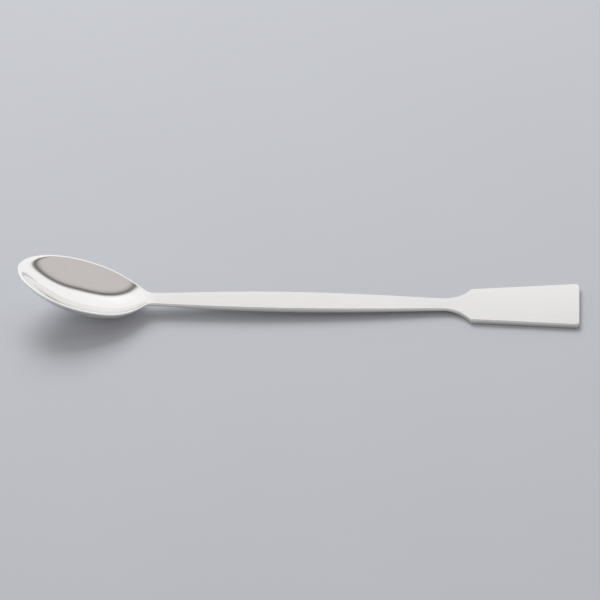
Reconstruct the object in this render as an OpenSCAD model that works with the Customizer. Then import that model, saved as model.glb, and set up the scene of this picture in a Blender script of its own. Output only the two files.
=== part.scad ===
// Lab spatula, forged in one piece of stainless steel: a spoon bowl, a slim handle and a flat blade.
// X runs from the tip of the bowl to the end of the blade, Y across, Z up. The bench is at Z zero.
// The blade lies flat on the bench, and the handle slopes up to the bowl so that its belly rests there too.
// The whole form is one loft: sections across X whose width, height and hollow are functions of X.

/* [Overall] */
// Length from the tip of the bowl to the end of the blade
overall_length = 180; // [150:1:240]
// Rounding of the long edges of the handle and the blade
edge_radius = 0.6; // [0.3:0.05:0.7]

/* [Bowl] */
// Length from the tip to the widest place
tip_length = 19.8; // [14:0.1:26]
// Length from the widest place to where the oval closes on the handle
heel_length = 23.2; // [17:0.1:30]
// Width over the rim
bowl_width = 23.7; // [17:0.1:30]
// Depth of the hollow below the rim
bowl_depth = 7.4; // [5:0.05:10]
// Thickness of the metal under the hollow
bowl_wall = 1.1; // [0.7:0.05:2]
// Thinnest metal under the hollow, towards the heel and at the tip
heel_wall = 0.95; // [0.6:0.05:1.2]
// Depth over which the thinnest metal sets in
wall_easing = 0.2; // [0.1:0.05:0.4]
// Width of the flat top of the rim
rim_width = 0.65; // [0.55:0.05:1.4]
// Rounding of the rim's outer edge
rim_radius = 0.3; // [0.2:0.05:0.35]
// Height of the tip above the line of the handle
tip_rise = 12.2; // [8:0.1:16]
// Length over which the rim climbs to the tip
rise_length = 38.8; // [32:0.1:48]
// Length over which the climb sets in
rise_easing = 4; // [1:0.1:8]

/* [Handle] */
// Width at the belly of the handle
handle_width = 8; // [6.5:0.1:12]
// Thickness at the belly of the handle
handle_thickness = 1.95; // [1.5:0.05:3]
// Width of the neck behind the bowl
front_neck_width = 5.5; // [4:0.1:6.4]
// Width of the neck before the blade
rear_neck_width = 5.2; // [4:0.1:6.4]
// Thickness of both necks
neck_thickness = 1.3; // [1.1:0.05:2]
// Length from the closed oval to the narrowest place of the front neck
front_neck_run = 2.4; // [1:0.1:6]
// Length over which the round belly of the bowl turns into the flat underside of the neck
heel_turn = 4; // [2:0.1:7]
// Height of the rear neck's underside above the bench
rear_neck_lift = 1; // [0.4:0.05:1.6]

/* [Blade] */
// Length of the blade behind its shoulders
blade_length = 34.8; // [25:0.1:50]
// Width at the end of the blade
blade_width = 19; // [15:0.1:28]
// Thickness of the blade
blade_thickness = 1.95; // [1.2:0.05:3]
// Width at the shoulders
shoulder_width = 14.2; // [10:0.1:15]
// Length of the hollow curve from the rear neck to the shoulders
shoulder_length = 8.8; // [6:0.1:14]
// Rounding of the shoulders
shoulder_rounding = 0.6; // [0.2:0.05:1.2]
// Corner radius at the end of the blade
corner_radius = 1.5; // [0.8:0.05:3]

/* [Hidden] */

// Shares that shape the curves
tip_taper_share = 0.04;
heel_taper_share = 0.5;
belly_place_share = 0.45;
belly_fullness_share = 1.25;
climb_share = 1.1;
belly_share = 1.5;
section_share = 0.92;
section_tip_share = 1.2;
tip_bend_share = 2.5;
tip_fall_share = 1.3;
heel_bend_share = 2.6;
heel_fall_share = 1.1;
heel_landing_share = 0.08;
neck_blend_share = 4;
tip_land_share = 0.3;
small_radius_share = 0.8;
round_share = 0.45;

// Places along X
tip_x = -overall_length / 2;
end_x = overall_length / 2;
bowl_x = tip_x + tip_length;
heel_x = bowl_x + heel_length;
front_neck_x = heel_x + front_neck_run;
shoulder_x = end_x - blade_length;
rear_neck_x = shoulder_x - shoulder_length;
belly_x = front_neck_x + belly_place_share * (rear_neck_x - front_neck_x);

// Arc that sweeps out from the rear neck to a shoulder
shoulder_rise = (shoulder_width - rear_neck_width) / 2;
shoulder_radius = (shoulder_length ^ 2 + shoulder_rise ^ 2) / (2 * shoulder_rise);

// Rounding of the blade's end face, limited by the blade's thickness
end_radius = min(edge_radius, round_share * blade_thickness);

// Counts of sections along each stretch, and of points round a section
tip_count = 18;
heel_count = 22;
run_count = 4;
handle_count = 26;
sweep_count = 14;
shoulder_count = 4;
corner_count = 6;
top_count = 17;
arc_count = 3;
under_count = 21;

function mix(a, b, t) = a + (b - a) * t;
function ease(t) = let (c = min(1, max(0, t))) c ^ 2 * (3 - 2 * c);

// Smaller of two sizes, with the corner where they cross rounded off
function soft_min(a, b, rounding) =
    let (h = max(0, rounding - abs(a - b)) / rounding) min(a, b) - h ^ 2 * rounding / 4;

// Length past zero of a distance, setting in gently
function soft_past(d, easing) = (d + sqrt(d ^ 2 + easing ^ 2)) / 2;

// Egg-shaped half-width of the bowl for a given half-width and tip length
function oval(x, half, tip) =
    let (front = x < bowl_x)
    let (u = (x - bowl_x) / (front ? tip : heel_length))
    let (taper = front ? tip_taper_share * u ^ 2 : heel_taper_share * u ^ 4)
    half * sqrt(max(0, 1 - u ^ 2)) * (1 - taper);

// Swell of the handle: one at its belly, zero at both necks
function swell(x) =
    let (reach = x < belly_x ? belly_x - front_neck_x : rear_neck_x - belly_x)
    max(0, 1 - ((x - belly_x) / reach) ^ 2) ^ belly_fullness_share;

function handle_half(x) = mix(x < belly_x ? front_neck_width : rear_neck_width, handle_width, swell(x)) / 2;

// Bowl and handle, joined by a rounded crotch
function front_half(x) =
    let (bowl = oval(x, bowl_width / 2, tip_length))
    let (joined = (bowl ^ neck_blend_share + handle_half(x) ^ neck_blend_share) ^ (1 / neck_blend_share))
    x < bowl_x ? bowl : joined;

// Hollow sweep from the rear neck, rounded shoulder, widening blade and its end corner
function rear_half(x) =
    let (along = min(shoulder_radius, x - rear_neck_x))
    let (sweep = rear_neck_width / 2 + shoulder_radius - sqrt(shoulder_radius ^ 2 - along ^ 2))
    let (side = mix(shoulder_width, blade_width, (x - shoulder_x) / blade_length) / 2)
    let (corner = max(0, x - end_x + corner_radius))
    soft_min(sweep, side, shoulder_rounding) - corner_radius + sqrt(max(0, corner_radius ^ 2 - corner ^ 2));

function half_width(x) = x < rear_neck_x ? front_half(x) : rear_half(x);

// Depth of the bowl's outer skin below the rim's rounding, with at least the thinnest metal over the hollow
function belly_drop(x) =
    let (even = (bowl_depth + bowl_wall - rim_radius) * (front_half(x) / (bowl_width / 2)) ^ belly_share)
    let (nose = max(0, 1 - (x - tip_x) / heel_wall))
    even + soft_past(hollow_depth(x) + heel_wall - rim_radius - even, wall_easing) * sqrt(1 - nose ^ 2);

// Climb of the rim above the line of the handle
function rim_climb(x) =
    tip_rise * (soft_past(tip_x + rise_length - x, rise_easing) / rise_length) ^ climb_share;

// Change from the handle to the blade: zero at the rear neck, one at the shoulders
function blade_part(x) = ease((x - rear_neck_x) / shoulder_length);

function thickness(x) =
    mix(mix(neck_thickness, handle_thickness, swell(x)), blade_thickness, blade_part(x));

// Middle of the handle's thickness: a straight line that eases down into the blade
function middle(x, slope) =
    mix(rear_neck_lift + neck_thickness / 2 + slope * (rear_neck_x - x), blade_thickness / 2, blade_part(x));

function top(x, slope) = middle(x, slope) + thickness(x) / 2 + rim_climb(x) * (1 - blade_part(x));

// Half-width of the hollow inside the rim
function hollow_half(x) =
    x < bowl_x ? oval(x, bowl_width / 2 - rim_width, tip_length - rim_width) : half_width(x) - rim_width;

// Share of the way from the widest place to the end of the hollow, at the tip and at the heel
function to_tip(x) = min(1, max(0, (bowl_x - x) / (tip_length - rim_width)));
function to_heel(x) = min(1, max(0, (x - bowl_x) / heel_length));

// Depth of the hollow on the middle line
function hollow_depth(x) =
    let (tip = (1 - to_tip(x) ^ tip_bend_share) ^ tip_fall_share)
    let (left = 1 - to_heel(x) ^ heel_bend_share)
    let (heel = left ^ (1 + heel_fall_share) * (1 + heel_landing_share) / (left + heel_landing_share))
    bowl_depth * tip * heel;

// Fall of a section from the rim to the middle line, slower at the rim towards the tip
function hollow_fall(x, s) =
    max(0, 1 - s ^ 2) ^ (section_share + section_tip_share * to_tip(x) ^ 2);

// Sections along X, close together where the outline turns
function bowl_stations() = [
    for (i = [1:tip_count]) bowl_x - tip_length * cos(90 * i / tip_count),
    for (i = [1:heel_count]) mix(bowl_x, heel_x, i / heel_count)
];
function stations() = [
    for (x = bowl_stations()) x,
    for (i = [1:run_count]) mix(heel_x, front_neck_x, i / run_count),
    for (i = [1:handle_count]) mix(front_neck_x, rear_neck_x, i / handle_count),
    for (i = [1:sweep_count]) mix(rear_neck_x, shoulder_x, i / sweep_count),
    for (i = [1:shoulder_count]) shoulder_x + shoulder_rounding * i / 2,
    for (i = [0:corner_count]) end_x - corner_radius + corner_radius * sin(90 * i / corner_count)
];

// Slope of the handle that brings the belly of the bowl down to the bench
function handle_slope() = max([
    for (x = bowl_stations())
        (rim_radius + belly_drop(x) - rim_climb(x) - rear_neck_lift - neck_thickness) / (rear_neck_x - x)
]);

// Quarter round in the YZ plane about a corner's centre
function quarter(y, z, r, from, to, count) =
    [for (i = [0:count - 1]) let (a = mix(from, to, i / count)) [y + r * cos(a), z + r * sin(a)]];

// Underside of the bowl, from its far edge to its near edge
function round_under(half, start, drop) =
    [for (i = [0:under_count - 1]) let (a = 180 * i / (under_count - 1))
        [half * cos(a), start - drop * sin(a) ^ belly_share]];

// Underside of the handle and blade, with the same number of points
function flat_under(half, start, low, r) =
    let (far = [for (p = quarter(half - r, low + r, r, 0, -90, arc_count)) p, [half - r, low]])
    let (inner_count = under_count - 2 * len(far) - 2)
    let (across = [for (i = [1:inner_count]) [(half - r) * (1 - 2 * i / (inner_count + 1)), low]])
    let (near = [for (i = [len(far) - 1:-1:0]) [-far[i][0], far[i][1]]])
    concat([[half, start]], far, across, near, [[-half, start]]);

// Points of the section at x: over the top from the near side, then back underneath
function section(x, slope) =
    let (half = half_width(x))
    let (turn = ease((x - heel_x + heel_turn) / (heel_turn + front_neck_run)))
    let (nose = rim_radius - sqrt(rim_radius ^ 2 - max(0, tip_x + rim_radius - x) ^ 2))
    let (fall = end_radius - sqrt(max(0, end_radius ^ 2 - max(0, x - end_x + end_radius) ^ 2)))
    let (upper = top(x, slope) - nose - fall)
    let (low = top(x, slope) - thickness(x) + fall)
    let (r = min(mix(rim_radius, edge_radius, turn), small_radius_share * half, round_share * (upper - low)))
    let (hollow = max(0, hollow_half(x)))
    let (land = max(hollow, tip_land_share * half))
    let (over = [for (i = [0:top_count - 1]) let (y = -land * cos(180 * i / (top_count - 1)))
        [y, upper - (abs(y) < hollow ? hollow_depth(x) * hollow_fall(x, y / hollow) : 0)]])
    let (far = quarter(half - r, upper - r, r, 90, 0, arc_count))
    let (near = [for (i = [arc_count - 1:-1:0]) [-far[i][0], far[i][1]]])
    let (belly = round_under(half, upper - r, belly_drop(min(x, rear_neck_x))))
    let (bar = flat_under(half, upper - r, low, r))
    let (under = [for (i = [0:under_count - 1]) mix(belly[i], bar[i], turn)])
    [for (p = concat(over, far, under, near)) [x, p[0], p[1]]];

// Solid through the sections, closed by a point at the bowl's tip and a flat face at the blade's end
module loft(rings, tip, end) {
    size = len(rings[0]);
    last = 1 + (len(rings) - 1) * size;
    points = concat([tip], [for (ring = rings) each ring], [end]);
    tip_fan = [for (j = [0:size - 1]) [0, 1 + (j + 1) % size, 1 + j]];
    end_fan = [for (j = [0:size - 1]) [last + size, last + j, last + (j + 1) % size]];
    skin = [
        for (i = [0:len(rings) - 2], j = [0:size - 1])
            let (a = 1 + i * size, b = a + size, k = (j + 1) % size)
            each [[a + j, a + k, b + k], [a + j, b + k, b + j]]
    ];
    polyhedron(points, concat(tip_fan, skin, end_fan));
}

module spoon_spatula() {
    slope = handle_slope();
    rings = [for (x = stations()) section(x, slope)];
    tip = [tip_x, 0, top(tip_x, slope) - rim_radius];
    end = [end_x, 0, middle(end_x, slope)];
    color([0.78, 0.77, 0.75]) loft(rings, tip, end);
}

spoon_spatula();
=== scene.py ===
"""Looks of the lab spatula: one forged piece of stainless steel, its soft studio and its camera.

The piece is one smooth surface over a grid. One parameter runs along X from the tip of the bowl to the end of
the blade, the other runs once round each cross-section. Lengths are in metres, in the frame of the solid.
"""

import logging
import math
from dataclasses import dataclass, field
from typing import Any

import bpy
import numpy as np
from mathutils import Matrix, Vector


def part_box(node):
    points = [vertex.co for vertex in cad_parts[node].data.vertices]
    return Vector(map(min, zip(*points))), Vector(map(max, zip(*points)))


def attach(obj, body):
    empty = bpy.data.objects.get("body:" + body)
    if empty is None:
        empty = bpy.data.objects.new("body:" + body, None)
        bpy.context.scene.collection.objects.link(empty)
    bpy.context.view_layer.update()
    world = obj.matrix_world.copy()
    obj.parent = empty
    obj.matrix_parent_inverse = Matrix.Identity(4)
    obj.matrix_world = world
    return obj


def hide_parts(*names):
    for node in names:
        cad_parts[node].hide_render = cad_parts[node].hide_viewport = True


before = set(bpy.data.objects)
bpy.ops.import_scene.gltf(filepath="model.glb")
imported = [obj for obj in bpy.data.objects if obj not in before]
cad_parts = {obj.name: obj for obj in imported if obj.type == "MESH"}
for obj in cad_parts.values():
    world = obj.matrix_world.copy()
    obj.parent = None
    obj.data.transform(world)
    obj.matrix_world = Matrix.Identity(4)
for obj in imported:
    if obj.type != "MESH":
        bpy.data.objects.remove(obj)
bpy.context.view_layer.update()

LOG = logging.getLogger("lab_spatula")
NODE = "spoon_spatula"
GROUND = "ground"
MM = 0.001
NOISE_MIDDLE = 0.5
Array = np.ndarray
Colour = tuple[float, float, float, float]


def mix(a: Array | float, b: Array | float, share: Array | float) -> Array:
    """Blend from a to b in a straight line.

    Args:
        a: Value at share zero.
        b: Value at share one.
        share: How far from a to b.

    Returns:
        The blended value.
    """
    return a + (b - a) * share


def ease(t: Array) -> Array:
    """Go from zero to one with level ends: three t squared less two t cubed, held outside.

    Args:
        t: Distance as a share of the stretch.

    Returns:
        The eased share.
    """
    c = np.clip(t, 0.0, 1.0)
    return c * c * (3.0 - 2.0 * c)


def soft_min(a: Array, b: Array, rounding: float) -> Array:
    """Take the smaller of two lengths, with the corner where they cross rounded off by a parabola.

    Args:
        a: First length.
        b: Second length.
        rounding: Difference below which the corner is rounded.

    Returns:
        The rounded minimum.
    """
    h = np.maximum(0.0, rounding - np.abs(a - b)) / rounding
    return np.minimum(a, b) - h * h * rounding / 4.0


def soft_past(d: Array, easing: float) -> Array:
    """Give the length past zero of a distance, setting in along a hyperbola.

    Args:
        d: Signed distance.
        easing: Length over which it sets in.

    Returns:
        Nearly zero before the start and nearly d after it.
    """
    return (d + np.sqrt(d * d + easing * easing)) / 2.0


def round_off(past: Array, radius: float) -> Array:
    """Give how far a quarter round of a radius has fallen away.

    Args:
        past: Distance into the quarter round, from zero to the radius.
        radius: Radius of the round.

    Returns:
        The fall, from zero to the radius.
    """
    p = np.clip(past, 0.0, radius)
    return radius - np.sqrt(np.maximum(0.0, radius * radius - p * p))


class ShaderValue:
    """A number socket of a shader that takes part in Python arithmetic; each operation adds one Math node."""

    def __init__(self, tree: "ShaderTree", socket: bpy.types.NodeSocket) -> None:
        """Keep the tree and the socket.

        Args:
            tree: Tree that new nodes go into.
            socket: Output socket that carries the number.
        """
        self.tree = tree
        self.socket = socket

    def math(self, operation: str, *others: "ShaderValue | float") -> "ShaderValue":
        """Add a Math node with this value first.

        Args:
            operation: The Math node's operation.
            others: Second and third inputs, as values or numbers.

        Returns:
            The node's result.
        """
        return self.tree.math(operation, self, *others)

    def __add__(self, other: "ShaderValue | float") -> "ShaderValue":
        """Sum."""
        return self.math("ADD", other)

    __radd__ = __add__

    def __sub__(self, other: "ShaderValue | float") -> "ShaderValue":
        """Difference."""
        return self.math("SUBTRACT", other)

    def __rsub__(self, other: "ShaderValue | float") -> "ShaderValue":
        """Difference from a number."""
        return self.tree.math("SUBTRACT", other, self)

    def __mul__(self, other: "ShaderValue | float") -> "ShaderValue":
        """Product."""
        return self.math("MULTIPLY", other)

    __rmul__ = __mul__

    def __abs__(self) -> "ShaderValue":
        """Size without sign."""
        return self.math("ABSOLUTE")

    def step(self, low: float, high: float) -> "ShaderValue":
        """Smooth step from zero at low to one at high.

        Args:
            low: Value that gives zero.
            high: Value that gives one; it may be under low.

        Returns:
            The eased share.
        """
        inputs = {"Value": self, "From Min": low, "From Max": high}
        return self.tree.value("ShaderNodeMapRange", {"interpolation_type": "SMOOTHSTEP"}, inputs, "Result")


class ShaderTree:
    """A node tree that nodes are added to by type, settings and inputs."""

    def __init__(self, tree: bpy.types.NodeTree) -> None:
        """Empty the tree and keep it.

        Args:
            tree: Node tree of a material or of the world.
        """
        tree.nodes.clear()
        self.tree = tree

    def add(self, kind: str, settings: dict[str, Any] | None = None,
            inputs: dict[str, Any] | None = None) -> bpy.types.Node:
        """Add one node.

        Args:
            kind: The node's type.
            settings: Properties of the node, set before its sockets.
            inputs: Socket identifier, name or index to a number, a tuple, a socket or a ShaderValue.

        Returns:
            The new node.
        """
        node = self.tree.nodes.new(kind)
        for name, setting in (settings or {}).items():
            setattr(node, name, setting)
        for name, given in (inputs or {}).items():
            self.feed(self.find(node.inputs, name), given)
        return node

    @staticmethod
    def find(sockets: Any, name: str | int) -> bpy.types.NodeSocket:
        """Find a socket by index, by identifier or by name, in that order.

        Args:
            sockets: Inputs or outputs of a node.
            name: Index, identifier or name of the socket.

        Returns:
            The socket.
        """
        if isinstance(name, int):
            return sockets[name]
        return next((s for s in sockets if s.identifier == name), None) or sockets[name]

    def feed(self, socket: bpy.types.NodeSocket, given: Any) -> None:
        """Link or set one input socket.

        Args:
            socket: Input socket.
            given: A number, a tuple, a socket or a ShaderValue.
        """
        if isinstance(given, ShaderValue):
            given = given.socket
        if isinstance(given, bpy.types.NodeSocket):
            self.tree.links.new(given, socket)
        else:
            socket.default_value = given

    def output(self, kind: str, settings: dict[str, Any] | None, inputs: dict[str, Any] | None,
               output: str) -> bpy.types.NodeSocket:
        """Add a node and return one of its output sockets."""
        return self.find(self.add(kind, settings, inputs).outputs, output)

    def value(self, kind: str, settings: dict[str, Any] | None, inputs: dict[str, Any] | None,
              output: str) -> ShaderValue:
        """Add a node and wrap one of its number outputs for arithmetic."""
        return ShaderValue(self, self.output(kind, settings, inputs, output))

    def math(self, operation: str, *terms: ShaderValue | float) -> ShaderValue:
        """Add one Math node for an operation on values or numbers."""
        return self.value("ShaderNodeMath", {"operation": operation}, dict(enumerate(terms)), "Value")

    def mix_colours(self, share: ShaderValue | float, a: Any, b: Any) -> bpy.types.NodeSocket:
        """Add a Mix node that blends from colour a to colour b."""
        inputs = {"Factor_Float": share, "A_Color": a, "B_Color": b}
        return self.output("ShaderNodeMix", {"data_type": "RGBA"}, inputs, "Result_Color")

    def scale_colour(self, colour: Any, gain: ShaderValue | float) -> bpy.types.NodeSocket:
        """Add a Vector Math node that makes a colour brighter or darker."""
        inputs = {"Vector": colour, "Scale": gain}
        return self.output("ShaderNodeVectorMath", {"operation": "SCALE"}, inputs, "Vector")


@dataclass(frozen=True)
class SteelFinish:
    """Stainless steel: bright polish in the bowl, fine satin grinding along the bar and the blade."""

    colour: Colour = (0.905, 0.898, 0.888, 1.0)
    shade: Colour = (0.862, 0.855, 0.845, 1.0)
    bowl_roughness: float = 0.15
    bar_roughness: float = 0.24
    belly_roughness: float = 0.42
    side_roughness: float = 0.46
    roughness_spread: float = 0.05
    bowl_grain_share: float = 0.2
    cloud_spread: float = 0.02
    # Painted shade: the share by which the bar and blade are made darker than the bowl.
    bar_painted_shade: float = 0.133
    # Painted light across the bar and blade: a gain per metre of Y that makes the far side brighter and the
    # near side darker.
    painted_side_light: float = 5.0
    grain_scale: float = 140.0
    grain_run: tuple[float, float, float] = (1.0, 18.0, 18.0)
    grain_detail: float = 4.0
    grain_fineness: float = 0.6
    cloud_scale: float = 55.0
    cloud_detail: float = 2.0
    tone_grain_share: float = 0.6
    tone_low: float = 0.3
    tone_high: float = 0.7
    grain_depth: float = 0.000004
    grain_strength: float = 0.22

    def material(self, polish_start: float, polish_end: float) -> bpy.types.Material:
        """Make the steel's material.

        The polish fades from the bowl to the bar over a stretch of X. The ground sides and the underside are
        rougher. Long thin noise gives the grinding marks, in roughness and in bump, and broad noise gives
        faint clouds in the tone. The bar and the blade also get painted shade, darker than the bowl, and
        painted light across, brighter towards the far side and darker towards the near side.

        Args:
            polish_start: X up to which the steel is bright.
            polish_end: X from which the steel is satin.

        Returns:
            The material.
        """
        made = bpy.data.materials.new("polished_steel")
        made.use_nodes = True
        tree = ShaderTree(made.node_tree)
        place = tree.output("ShaderNodeTexCoord", None, None, "Object")
        parts = tree.add("ShaderNodeSeparateXYZ", None, {"Vector": place}).outputs
        along, across = ShaderValue(tree, parts["X"]), ShaderValue(tree, parts["Y"])
        satin = along.step(polish_start, polish_end)
        ground = tree.value("ShaderNodeAttribute", {"attribute_name": GROUND}, None, "Fac")
        run = tree.output("ShaderNodeMapping", None, {"Vector": place, "Scale": self.grain_run}, "Vector")
        grain = tree.value("ShaderNodeTexNoise", None,
                           {"Vector": run, "Scale": self.grain_scale, "Detail": self.grain_detail,
                            "Roughness": self.grain_fineness}, "Fac")
        cloud = tree.value("ShaderNodeTexNoise", None,
                           {"Vector": place, "Scale": self.cloud_scale, "Detail": self.cloud_detail}, "Fac")
        marked = satin * (1.0 - self.bowl_grain_share) + self.bowl_grain_share
        polish = (self.bowl_roughness + satin * (self.bar_roughness - self.bowl_roughness)
                  + (grain - NOISE_MIDDLE) * self.roughness_spread * marked
                  + (cloud - NOISE_MIDDLE) * self.cloud_spread)
        outside = self.belly_roughness + satin * (self.side_roughness - self.belly_roughness)
        roughness = polish + ground * (outside - polish)
        worn = grain * self.tone_grain_share + cloud * (1.0 - self.tone_grain_share)
        tone = tree.mix_colours(worn.step(self.tone_low, self.tone_high), self.shade, self.colour)
        # Painted light in the bar's tone: brighter towards the far side and darker towards the near side, and
        # darker overall than the bowl as painted shade.
        bright = 1.0 + satin * (across * self.painted_side_light - self.bar_painted_shade)
        tone = tree.scale_colour(tone, bright)
        bump = tree.output("ShaderNodeBump", None,
                           {"Strength": self.grain_strength, "Distance": self.grain_depth,
                            "Height": grain * satin}, "Normal")
        shader = tree.output("ShaderNodeBsdfPrincipled", None,
                             {"Base Color": tone, "Metallic": 1.0, "Roughness": roughness, "Normal": bump},
                             "BSDF")
        tree.add("ShaderNodeOutputMaterial", None, {"Surface": shader})
        return made


@dataclass
class SpoonSpatula:
    """The whole spatula, lofted along X through sections that change from a bowl to a flat bar."""

    overall_length: float
    rim_radius: float = 0.3 * MM
    edge_radius: float = 0.6 * MM
    tip_length: float = 19.8 * MM
    heel_length: float = 23.2 * MM
    bowl_width: float = 23.7 * MM
    bowl_depth: float = 7.4 * MM
    bowl_wall: float = 1.1 * MM
    heel_wall: float = 0.95 * MM
    wall_easing: float = 0.2 * MM
    rim_width: float = 0.65 * MM
    tip_rise: float = 12.165 * MM
    rise_length: float = 38.8 * MM
    rise_easing: float = 4.0 * MM
    handle_width: float = 8.0 * MM
    handle_thickness: float = 1.95 * MM
    front_neck_width: float = 5.5 * MM
    rear_neck_width: float = 5.2 * MM
    neck_thickness: float = 1.3 * MM
    front_neck_run: float = 2.4 * MM
    heel_turn: float = 4.0 * MM
    rear_neck_lift: float = 1.0 * MM
    blade_length: float = 34.8 * MM
    blade_width: float = 19.0 * MM
    blade_thickness: float = 1.95 * MM
    shoulder_width: float = 14.2 * MM
    shoulder_length: float = 8.8 * MM
    shoulder_rounding: float = 0.6 * MM
    corner_radius: float = 1.5 * MM
    # Shares and powers that shape the curves
    tip_taper: float = 0.04
    heel_taper: float = 0.5
    belly_place: float = 0.45
    belly_fullness: float = 1.25
    climb_power: float = 1.1
    belly_power: float = 1.5
    section_power: float = 0.92
    section_tip: float = 1.2
    tip_bend: float = 2.5
    tip_power: float = 1.3
    heel_bend: float = 2.6
    heel_power: float = 1.1
    heel_landing: float = 0.08
    neck_blend: float = 4.0
    lip_softness: float = 0.04
    smallest_land: float = 0.02
    small_radius: float = 0.8
    round_share: float = 0.45
    shoulder_start: float = 0.1
    shoulder_end: float = 2.0
    # Numbers of sections along each stretch, and of points round a section
    tip_count: int = 72
    heel_count: int = 96
    run_count: int = 14
    handle_count: int = 110
    sweep_count: int = 64
    shoulder_count: int = 18
    blade_count: int = 34
    corner_count: int = 20
    hollow_count: int = 65
    land_count: int = 6
    arc_count: int = 9
    under_count: int = 63
    rest_count: int = 400
    # Smallest gap between sections, and half-width at which the hollow counts as closed
    finest_step: float = 0.00075 * MM
    hollow_end: float = 0.0003 * MM
    # Places along X and the slope of the handle, worked out from the sizes
    tip_x: float = field(init=False)
    end_x: float = field(init=False)
    bowl_x: float = field(init=False)
    heel_x: float = field(init=False)
    front_neck_x: float = field(init=False)
    shoulder_x: float = field(init=False)
    rear_neck_x: float = field(init=False)
    belly_x: float = field(init=False)
    slope: float = field(init=False)

    def __post_init__(self) -> None:
        """Work out the places along X, and the handle's slope that rests the bowl's belly on the bench."""
        self.tip_x = -self.overall_length / 2.0
        self.end_x = self.overall_length / 2.0
        self.bowl_x = self.tip_x + self.tip_length
        self.heel_x = self.bowl_x + self.heel_length
        self.front_neck_x = self.heel_x + self.front_neck_run
        self.shoulder_x = self.end_x - self.blade_length
        self.rear_neck_x = self.shoulder_x - self.shoulder_length
        self.belly_x = mix(self.front_neck_x, self.rear_neck_x, self.belly_place)
        bowl = np.linspace(self.tip_x + self.rim_radius, self.heel_x, self.rest_count)
        need = (self.rim_radius + self.belly_drop(bowl) - self.rim_climb(bowl)
                - self.rear_neck_lift - self.neck_thickness)
        self.slope = float(np.max(need / (self.rear_neck_x - bowl)))

    def oval(self, x: Array, half: float, tip: float) -> Array:
        """Give the half-width of an egg: half ellipses before and after the widest place, a little tapered.

        Args:
            x: Places along the spatula.
            half: Half of the largest width.
            tip: Length from the tip to the widest place.

        Returns:
            Half-widths, zero outside the egg.
        """
        front = x < self.bowl_x
        u = (x - self.bowl_x) / np.where(front, tip, self.heel_length)
        taper = np.where(front, self.tip_taper * u ** 2, self.heel_taper * u ** 4)
        return half * np.sqrt(np.maximum(0.0, 1.0 - u * u)) * (1.0 - taper)

    def swell(self, x: Array) -> Array:
        """Give the swell of the handle, zero at a neck: a power of one less the squared way to the belly."""
        reach = np.where(x < self.belly_x, self.belly_x - self.front_neck_x, self.rear_neck_x - self.belly_x)
        return np.maximum(0.0, 1.0 - ((x - self.belly_x) / reach) ** 2) ** self.belly_fullness

    def front_half(self, x: Array) -> Array:
        """Give the half-width of bowl and handle, joined as the root of the sum of their powers.

        Args:
            x: Places along the spatula.

        Returns:
            Half-widths up to the rear neck.
        """
        bowl = self.oval(x, self.bowl_width / 2.0, self.tip_length)
        neck = np.where(x < self.belly_x, self.front_neck_width, self.rear_neck_width)
        handle = mix(neck, self.handle_width, self.swell(x)) / 2.0
        joined = (bowl ** self.neck_blend + handle ** self.neck_blend) ** (1.0 / self.neck_blend)
        return np.where(x < self.bowl_x, bowl, joined)

    def rear_half(self, x: Array) -> Array:
        """Give the half-width of the blade: a hollow arc, a rounded shoulder, a straight side, a corner arc.

        Args:
            x: Places along the spatula.

        Returns:
            Half-widths from the rear neck on.
        """
        rise = (self.shoulder_width - self.rear_neck_width) / 2.0
        radius = (self.shoulder_length ** 2 + rise ** 2) / (2.0 * rise)
        sweep = self.rear_neck_width / 2.0 + round_off(x - self.rear_neck_x, radius)
        side = mix(self.shoulder_width, self.blade_width, (x - self.shoulder_x) / self.blade_length) / 2.0
        corner = round_off(x - self.end_x + self.corner_radius, self.corner_radius)
        return soft_min(sweep, side, self.shoulder_rounding) - corner

    def half_width(self, x: Array) -> Array:
        """Give half of the width at x."""
        return np.where(x < self.rear_neck_x, self.front_half(x), self.rear_half(x))

    def belly_drop(self, x: Array) -> Array:
        """Give the depth of the bowl's outer skin under the rim's rounding.

        It is a power of the share of the full width, and it keeps the thinnest metal over the hollow.

        Args:
            x: Places along the spatula.

        Returns:
            Depths on the middle line.
        """
        share = self.front_half(np.minimum(x, self.rear_neck_x)) / (self.bowl_width / 2.0)
        even = (self.bowl_depth + self.bowl_wall - self.rim_radius) * share ** self.belly_power
        lack = self.hollow_depth(x) + self.heel_wall - self.rim_radius - even
        nose = np.maximum(0.0, 1.0 - (x - self.tip_x) / self.heel_wall)
        return even + soft_past(lack, self.wall_easing) * np.sqrt(np.maximum(0.0, 1.0 - nose * nose))

    def rim_climb(self, x: Array) -> Array:
        """Give the climb of the rim over the handle's line, a power of the distance from where it sets in."""
        past = soft_past(self.tip_x + self.rise_length - x, self.rise_easing)
        return self.tip_rise * (past / self.rise_length) ** self.climb_power

    def blade_part(self, x: Array) -> Array:
        """Give the change from handle to blade, zero at the rear neck and one at the shoulders."""
        return ease((x - self.rear_neck_x) / self.shoulder_length)

    def thickness(self, x: Array) -> Array:
        """Give the thickness of the bar at x."""
        bar = mix(self.neck_thickness, self.handle_thickness, self.swell(x))
        return mix(bar, self.blade_thickness, self.blade_part(x))

    def top(self, x: Array) -> Array:
        """Give the height of the top face or the rim: the sloped line of the handle, eased into the blade.

        Args:
            x: Places along the spatula.

        Returns:
            Heights over the bench.
        """
        line = self.rear_neck_lift + self.neck_thickness / 2.0 + self.slope * (self.rear_neck_x - x)
        part = self.blade_part(x)
        middle = mix(line, self.blade_thickness / 2.0, part)
        return middle + self.thickness(x) / 2.0 + self.rim_climb(x) * (1.0 - part)

    def hollow_half(self, x: Array) -> Array:
        """Give the half-width inside the rim."""
        inside = self.oval(x, self.bowl_width / 2.0 - self.rim_width, self.tip_length - self.rim_width)
        return np.where(x < self.bowl_x, inside, self.half_width(x) - self.rim_width)

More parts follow.
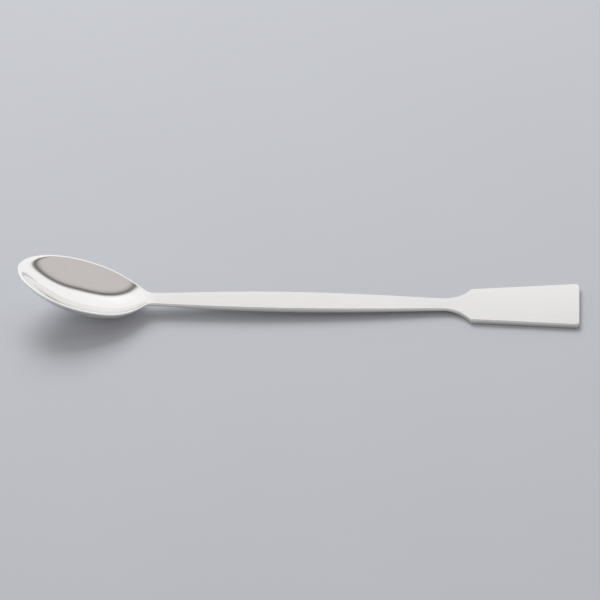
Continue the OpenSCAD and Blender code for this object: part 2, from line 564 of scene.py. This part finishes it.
    def to_tip(self, x: Array) -> Array:
        """Give the share of the way from the widest place to the inner edge of the rim at the tip."""
        return np.clip((self.bowl_x - x) / (self.tip_length - self.rim_width), 0.0, 1.0)

    def to_heel(self, x: Array) -> Array:
        """Give the share of the way from the widest place to the heel, where the hollow has run out."""
        return np.clip((x - self.bowl_x) / self.heel_length, 0.0, 1.0)

    def hollow_depth(self, x: Array) -> Array:
        """Give the hollow's depth on the middle line: to each side a power of one less a power of the share.

        Args:
            x: Places along the spatula.

        Returns:
            Depths, with a soft landing on the neck at the heel.
        """
        tip = (1.0 - self.to_tip(x) ** self.tip_bend) ** self.tip_power
        left = 1.0 - self.to_heel(x) ** self.heel_bend
        heel = left ** (1.0 + self.heel_power) * (1.0 + self.heel_landing) / (left + self.heel_landing)
        return self.bowl_depth * tip * heel

    def section_fall(self, x: Array) -> Array:
        """Give the power with which a section falls from rim to middle line, larger towards the tip."""
        return self.section_power + self.section_tip * self.to_tip(x) ** 2

    def bar_part(self, x: Array) -> Array:
        """Give the change from the bowl to the bar, zero before the heel and one at the front neck."""
        return ease((x - self.heel_x + self.heel_turn) / (self.heel_turn + self.front_neck_run))

    def stations(self) -> Array:
        """Place the sections along X, close together where the outline turns.

        Returns:
            A column of places from near the tip to the end.
        """
        quarter = np.radians(np.linspace(1.0, 90.0, self.tip_count))
        nose = self.bowl_x - self.tip_length * np.cos(quarter)
        lip = self.bowl_x - (self.tip_length - self.rim_width) * np.cos(quarter[:-1])
        heel = np.linspace(self.bowl_x, self.heel_x, self.heel_count)[1:]
        run = np.linspace(self.heel_x, self.front_neck_x, self.run_count)[1:]
        handle = np.linspace(self.front_neck_x, self.rear_neck_x, self.handle_count)[1:]
        sweep = np.linspace(self.rear_neck_x, self.shoulder_x, self.sweep_count)[1:]
        turn = np.linspace(self.shoulder_start, self.shoulder_end, self.shoulder_count)
        shoulder = self.shoulder_x + self.shoulder_rounding * turn
        arc = np.radians(np.linspace(0.0, 90.0, self.corner_count))
        corner = self.end_x - self.corner_radius * (1.0 - np.sin(arc))
        blade = np.linspace(shoulder[-1], corner[0], self.blade_count)[1:-1]
        x = np.unique(np.concatenate([nose, lip, heel, run, handle, sweep, shoulder, blade, corner]))
        keep = np.concatenate([[True], np.diff(x) > self.finest_step])
        return x[keep][:, None]

    def over(self, x: Array, half: Array, upper: Array, radius: Array) -> tuple[Array, Array]:
        """Make the top of each section from its near to its far side, with the hollow and the rim's land.

        The hollow's depth across is a power of (1 - s squared), where s is the share of the way from the
        middle to the land. Close to the land it sets in softly.

        Args:
            x: Column of places.
            half: Half-widths.
            upper: Heights of the top.
            radius: Radii of the long edges.

        Returns:
            Y and Z of the points, one row a section.
        """
        hollow = np.maximum(0.0, self.hollow_half(x))
        land = np.maximum(hollow, self.smallest_land * half)
        y = -land * np.cos(np.linspace(0.0, math.pi, self.hollow_count))[None, :]
        inside = np.maximum(0.0, 1.0 - (y / np.maximum(hollow, self.hollow_end)) ** 2)
        softened = inside ** 2 / (inside + self.lip_softness)
        z = upper - self.hollow_depth(x) * softened ** self.section_fall(x)
        lip = mix(land, half - radius, np.linspace(0.0, 1.0, self.land_count)[None, 1:-1])
        flat = np.broadcast_to(upper, lip.shape)
        return np.hstack([-lip[:, ::-1], y, lip]), np.hstack([flat, z, flat])

    def under(self, x: Array, half: Array, start: Array, low: Array, radius: Array) -> tuple[Array, Array]:
        """Make the underside of each section from its far to its near side.

        The bowl's belly is a power of the sine of the way round. The bar is flat with quarter-round edges.
        The two change over at the heel.

        Args:
            x: Column of places.
            half: Half-widths.
            start: Heights at which the side begins.
            low: Heights of the bar's underside.
            radius: Radii of the long edges.

        Returns:
            Y and Z of the points, one row a section.
        """
        turn = np.radians(np.linspace(0.0, 90.0, self.arc_count))[None, :]
        edge_y, edge_z = half - radius + radius * np.cos(turn), low + radius - radius * np.sin(turn)
        across = (half - radius) * np.linspace(1.0, -1.0, self.under_count)[None, 1:-1]
        bar_y = np.hstack([half, edge_y, across, -edge_y[:, ::-1], -half])
        bar_z = np.hstack([start, edge_z, np.broadcast_to(low, across.shape), edge_z[:, ::-1], start])
        round_way = np.linspace(0.0, math.pi, bar_y.shape[1])[None, :]
        belly_y = half * np.cos(round_way)
        belly_z = start - self.belly_drop(x) * np.maximum(0.0, np.sin(round_way)) ** self.belly_power
        change = self.bar_part(x)
        return mix(belly_y, bar_y, change), mix(belly_z, bar_z, change)

    def sections(self) -> tuple[Array, Array]:
        """Compute every section as one closed ring of points.

        Returns:
            Array of sections by ring points by X, Y, Z, and each point's share of the ground outside finish.
        """
        x = self.stations()
        half = self.half_width(x)
        nose = round_off(self.tip_x + self.rim_radius - x, self.rim_radius)
        end = round_off(x - self.end_x + self.edge_radius, self.edge_radius)
        upper = self.top(x) - nose - end
        low = self.top(x) - self.thickness(x) + end
        radius = mix(self.rim_radius, self.edge_radius, self.bar_part(x))
        radius = np.minimum(np.minimum(radius, self.small_radius * half), self.round_share * (upper - low))
        over_y, over_z = self.over(x, half, upper, radius)
        turn = np.radians(np.linspace(90.0, 0.0, self.arc_count))[None, :-1]
        edge_y, edge_z = half - radius + radius * np.cos(turn), upper - radius + radius * np.sin(turn)
        under_y, under_z = self.under(x, half, upper - radius, low, radius)
        y = np.hstack([over_y, edge_y, under_y, -edge_y[:, ::-1]])
        z = np.hstack([over_z, edge_z, under_z, edge_z[:, ::-1]])
        ramp = np.linspace(0.0, 1.0, edge_y.shape[1])
        inner, outer = np.zeros(over_y.shape[1]), np.ones(under_y.shape[1])
        ground = np.concatenate([inner, ramp, outer, ramp[::-1]])
        return np.stack([np.broadcast_to(x, y.shape), y, z], axis=-1), np.tile(ground, len(x))

    def build(self) -> bpy.types.Object:
        """Build the closed mesh: quads between the sections, a fan at the tip and a fan on the end face.

        Returns:
            The piece, at the origin.
        """
        rings, ground = self.sections()
        count, size, _ = rings.shape
        tip = [self.tip_x, 0.0, float(self.top(np.array(self.tip_x))) - self.rim_radius]
        end = [self.end_x, 0.0, self.blade_thickness / 2.0]
        points = np.vstack([rings.reshape(-1, 3), [tip, end]])
        index = np.arange(count * size).reshape(count, size)
        beside = np.roll(index, -1, axis=1)
        quads = np.stack([index[:-1], index[1:], beside[1:], beside[:-1]], axis=-1).reshape(-1, 4)
        tip_fan = np.stack([np.full(size, count * size), index[0], beside[0]], axis=-1)
        end_fan = np.stack([np.full(size, count * size + 1), beside[-1], index[-1]], axis=-1)
        mesh = bpy.data.meshes.new(NODE + "_skin")
        mesh.from_pydata(points.tolist(), [], quads.tolist() + tip_fan.tolist() + end_fan.tolist())
        mesh.polygons.foreach_set("use_smooth", np.ones(len(mesh.polygons), dtype=bool))
        mesh.attributes.new(GROUND, "FLOAT", "POINT").data.foreach_set("value", np.append(ground, [1.0, 1.0]))
        mesh.update()
        piece = bpy.data.objects.new(NODE + "_skin", mesh)
        bpy.context.scene.collection.objects.link(piece)
        return piece

    def dress(self, piece: bpy.types.Object, finish: SteelFinish) -> None:
        """Give the piece its steel and put it in the place of the solid.

        Args:
            piece: The built piece.
            finish: Its finish.
        """
        piece.data.materials.append(finish.material(self.heel_x - self.heel_turn, self.front_neck_x))
        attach(piece, "root")
        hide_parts(NODE)


@dataclass(frozen=True)
class Studio:
    """A soft studio: white behind and above, dimmer in front, with a dark seam between the two overhead."""

    back_light: float = 1.01
    low_light: float = 0.2
    low_reach: float = 0.5
    high_light: float = 0.08
    level_height: float = 0.707
    front_light: float = 0.609
    seam_light: float = 0.06
    seam_middle: float = -0.142
    seam_lean: float = 0.38
    seam_bow: float = -0.145
    seam_pinch: float = 0.35
    seam_to_white: float = 0.15
    seam_to_front: float = 0.21
    white_tint: Colour = (1.0, 1.0, 1.0, 1.0)
    seam_tint: Colour = (1.0, 0.9, 0.84, 1.0)
    front_tint: Colour = (1.0, 0.95, 0.935, 1.0)
    backdrop: Colour = (0.622, 0.64, 0.679, 1.0)
    floor_share: float = 0.63
    floor_colour: Colour = (0.6, 0.62, 0.66, 1.0)
    floor_shade: Colour = (0.58, 0.6, 0.64, 1.0)
    floor_reach: float = 3.0
    mottle_scale: float = 18.0
    mottle_detail: float = 3.0
    lamp_place: tuple[float, float, float] = (-0.25, 0.75, 0.75)
    lamp_size: float = 0.6
    lamp_power: float = 7.0

    def build(self) -> None:
        """Make the world, the floor and the lamp."""
        self.build_world()
        self.build_floor()
        self.build_lamp()

    def build_world(self) -> None:
        """Light the scene by direction: front grey, then the dark seam, then white behind.

        The seam is a bowed line overhead that narrows to both ends. The floor gets a share of this light, and
        the camera sees a plain backdrop.
        """
        world = bpy.data.worlds.new("studio")
        world.use_nodes = True
        bpy.context.scene.world = world
        tree = ShaderTree(world.node_tree)
        way = tree.output("ShaderNodeTexCoord", None, None, "Generated")
        parts = tree.add("ShaderNodeSeparateXYZ", None, {"Vector": way})
        x, y, z = (ShaderValue(tree, parts.outputs[axis]) for axis in "XYZ")
        side = y - (x * self.seam_lean + x * x * self.seam_bow + self.seam_middle)
        side = side * (1.0 + x * x * self.seam_pinch)
        white = side.step(0.0, self.seam_to_white)
        front = side.step(0.0, -self.seam_to_front)
        low = z.step(self.level_height, 0.0) * abs(x).step(self.low_reach, 0.0) * self.low_light
        high = z.step(self.level_height, 1.0) * self.high_light
        back = self.back_light + low + high
        level = (self.seam_light + white * (back - self.seam_light)
                 + front * (self.front_light - self.seam_light))
        tint = tree.mix_colours(front, self.seam_tint, self.front_tint)
        tint = tree.mix_colours(white, tint, self.white_tint)
        lit = tree.scale_colour(tint, level)
        path = tree.add("ShaderNodeLightPath")
        seen = tree.mix_colours(ShaderValue(tree, path.outputs["Is Camera Ray"]), lit, self.backdrop)
        soft = ShaderValue(tree, path.outputs["Is Diffuse Ray"])
        strength = 1.0 - soft * (1.0 - self.floor_share)
        inputs = {"Color": seen, "Strength": strength}
        shader = tree.output("ShaderNodeBackground", None, inputs, "Background")
        tree.add("ShaderNodeOutputWorld", None, {"Surface": shader})

    def build_floor(self) -> None:
        """Lay a wide plain floor at the height on which the spatula rests."""
        reach = self.floor_reach
        mesh = bpy.data.meshes.new("floor")
        corners = [(-reach, -reach, 0.0), (reach, -reach, 0.0), (reach, reach, 0.0), (-reach, reach, 0.0)]
        mesh.from_pydata(corners, [], [(0, 1, 2, 3)])
        floor = bpy.data.objects.new("floor", mesh)
        bpy.context.scene.collection.objects.link(floor)
        made = bpy.data.materials.new("pale_floor")
        made.use_nodes = True
        tree = ShaderTree(made.node_tree)
        place = tree.output("ShaderNodeTexCoord", None, None, "Object")
        inputs = {"Vector": place, "Scale": self.mottle_scale, "Detail": self.mottle_detail}
        mottle = tree.value("ShaderNodeTexNoise", None, inputs, "Fac")
        tone = tree.mix_colours(mottle, self.floor_shade, self.floor_colour)
        shader = tree.output("ShaderNodeBsdfDiffuse", None, {"Color": tone}, "BSDF")
        tree.add("ShaderNodeOutputMaterial", None, {"Surface": shader})
        mesh.materials.append(made)

    def build_lamp(self) -> None:
        """Hang one large soft lamp behind the spatula for its shadow; the steel doesn't mirror it."""
        lamp = bpy.data.lights.new("soft_lamp", "AREA")
        lamp.shape = "SQUARE"
        lamp.size = self.lamp_size
        lamp.energy = self.lamp_power
        hung = bpy.data.objects.new("soft_lamp", lamp)
        hung.location = self.lamp_place
        hung.rotation_euler = (-Vector(self.lamp_place)).to_track_quat("-Z", "Y").to_euler()
        hung.visible_glossy = False
        bpy.context.scene.collection.objects.link(hung)


@dataclass(frozen=True)
class PhotoCamera:
    """The camera of the photograph: parallel rays, straight on to the spatula's side, from above."""

    elevation_deg: float = 45.0
    distance: float = 0.8
    frame_px: float = 600.0
    tip_px: float = 17.5
    end_px: float = 579.7
    bench_px: float = 308.3

    def build(self, length: float) -> None:
        """Place the camera so that the spatula fills the frame as in the photograph.

        Args:
            length: Overall length of the spatula.
        """
        pixel = length / (self.end_px - self.tip_px)
        tilt = math.radians(self.elevation_deg)
        back = Vector((0.0, -math.cos(tilt), math.sin(tilt)))
        up = Vector((0.0, math.sin(tilt), math.cos(tilt)))
        middle = self.frame_px / 2.0
        aim = Vector(((middle - (self.tip_px + self.end_px) / 2.0) * pixel, 0.0, 0.0))
        aim += up * (self.bench_px - middle) * pixel
        data = bpy.data.cameras.new("photo_camera")
        data.type = "ORTHO"
        data.ortho_scale = self.frame_px * pixel
        camera = bpy.data.objects.new("photo_camera", data)
        turn = (-back).to_track_quat("-Z", "Y").to_matrix().to_4x4()
        camera.matrix_world = Matrix.Translation(aim + back * self.distance) @ turn
        bpy.context.scene.collection.objects.link(camera)
        bpy.context.scene.camera = camera


def main() -> None:
    """Build the camera, the studio and the spatula, and report each piece."""
    logging.basicConfig(level=logging.INFO)
    bpy.context.scene.view_settings.view_transform = "Standard"
    low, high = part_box(NODE)
    spatula = SpoonSpatula(overall_length=high.x - low.x)
    PhotoCamera().build(spatula.overall_length)
    Studio().build()
    piece = spatula.build()
    spatula.dress(piece, SteelFinish())
    LOG.info("%s has %d faces", piece.name, len(piece.data.polygons))


if __name__ == "__main__":
    main()
